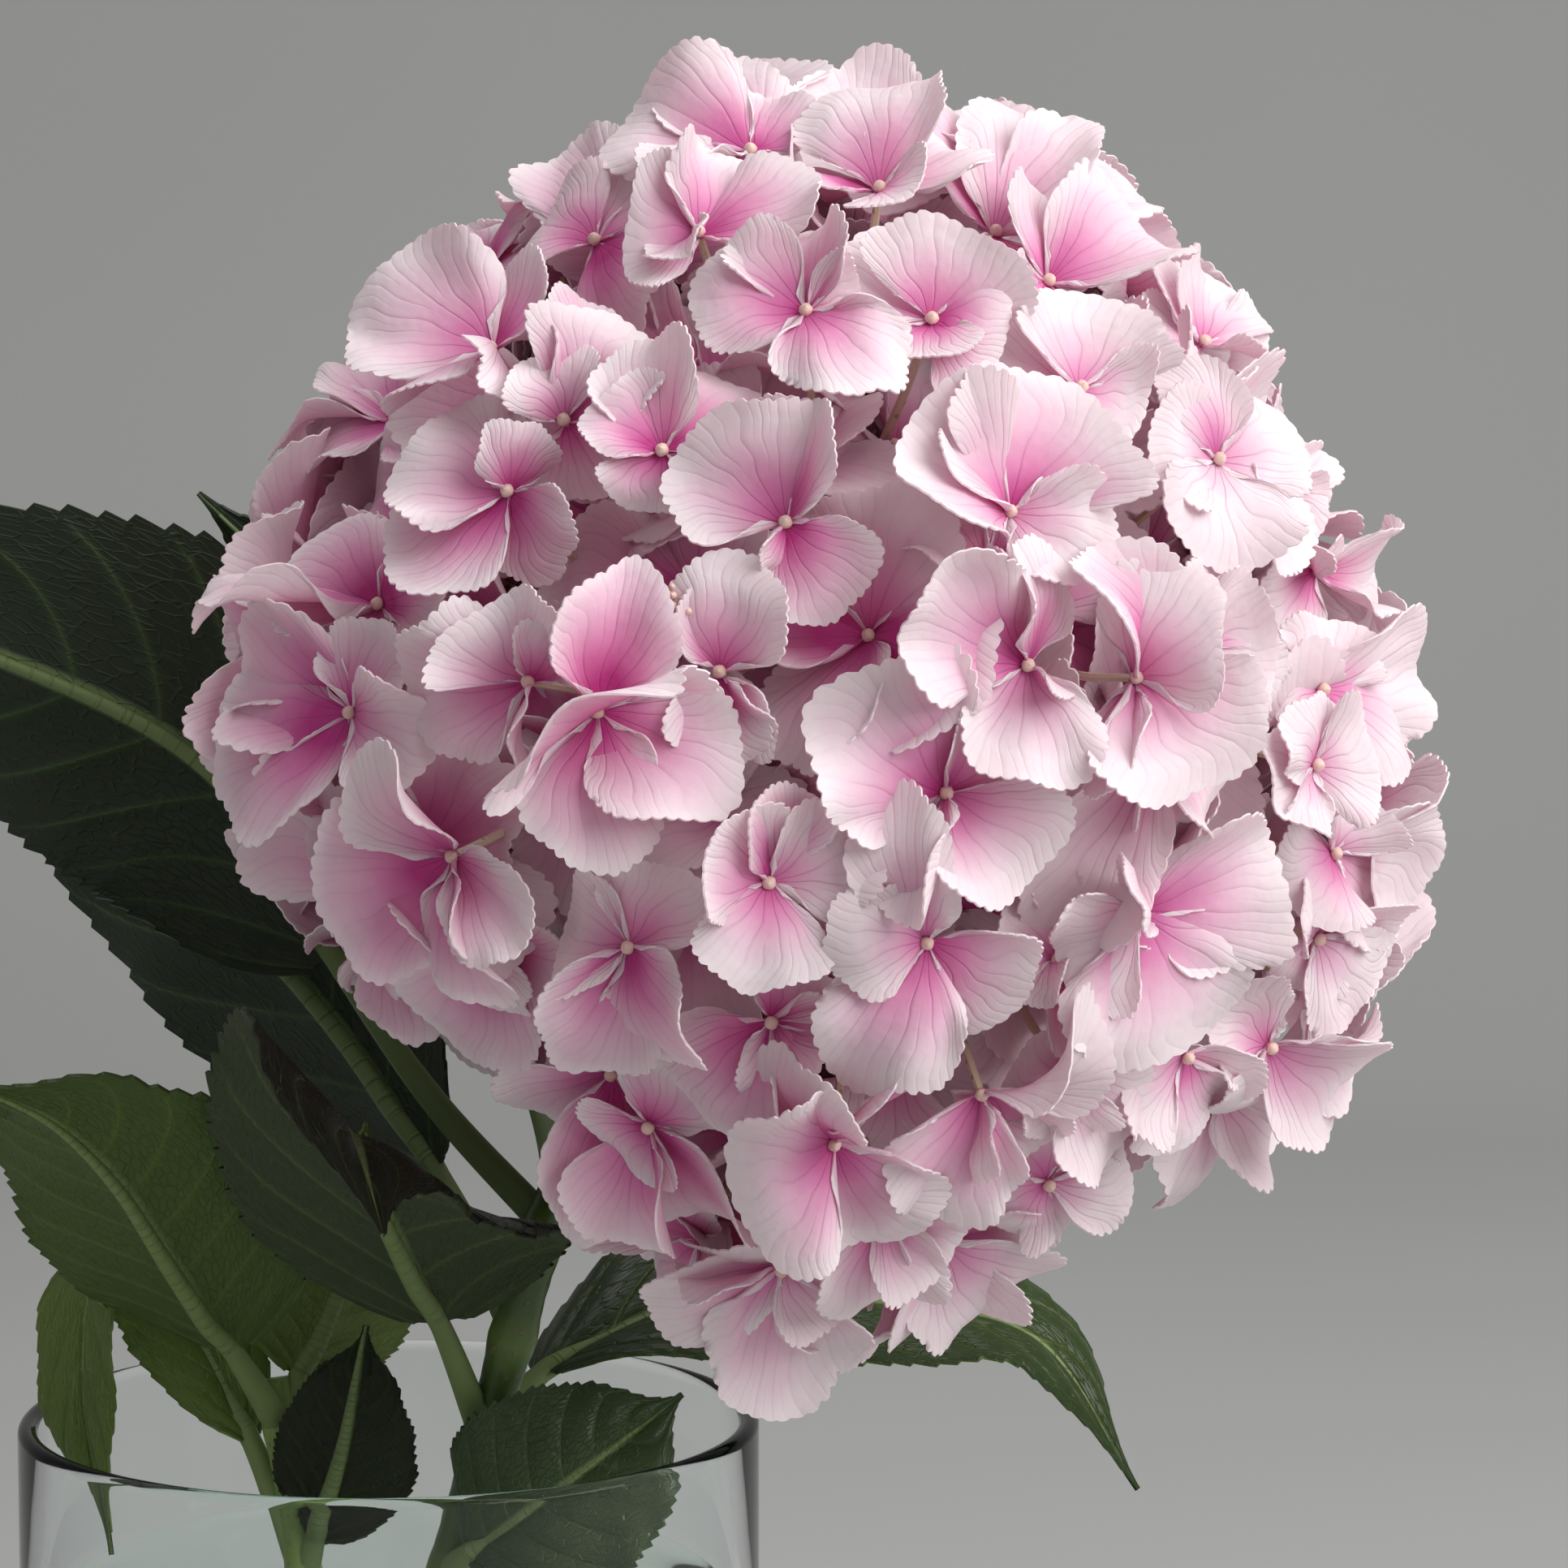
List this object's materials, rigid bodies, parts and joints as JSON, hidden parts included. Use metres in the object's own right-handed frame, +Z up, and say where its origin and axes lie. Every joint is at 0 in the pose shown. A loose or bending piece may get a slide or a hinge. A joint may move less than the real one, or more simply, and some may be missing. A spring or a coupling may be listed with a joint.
{
  "type": "cut hydrangea in a glass jar",
  "caption": "Cut pink mophead hydrangea with serrated leaves, leaning in a clear straight-sided glass jar of water.",
  "frame": {"origin": "centre of the jar's flat underside", "axes": "+Z up, -Y towards the front, +X to the right as seen from the front"},
  "size_m": [0.25, 0.2003, 0.3924],
  "materials": {
    "glass": "gloss",
    "water": "gloss",
    "stem": "satin",
    "leaf": "satin",
    "sepal": "matte"
  },
  "bodies": {
    "root": {"jar": "glass", "water": "water", "flower_stem": "stem", "leafy_shoot": "stem", "flower_head": "sepal", "leaf_front_arching": "leaf", "leaf_right_long": "leaf", "leaf_right_hanging": "leaf", "leaf_left_large": "leaf", "leaf_left_dark": "leaf", "leaf_back_tall": "leaf", "leaf_left_front": "leaf", "leaf_back_low": "leaf", "leaf_upright_small": "leaf", "leaf_over_rim": "leaf"}
  },
  "joints": []
}
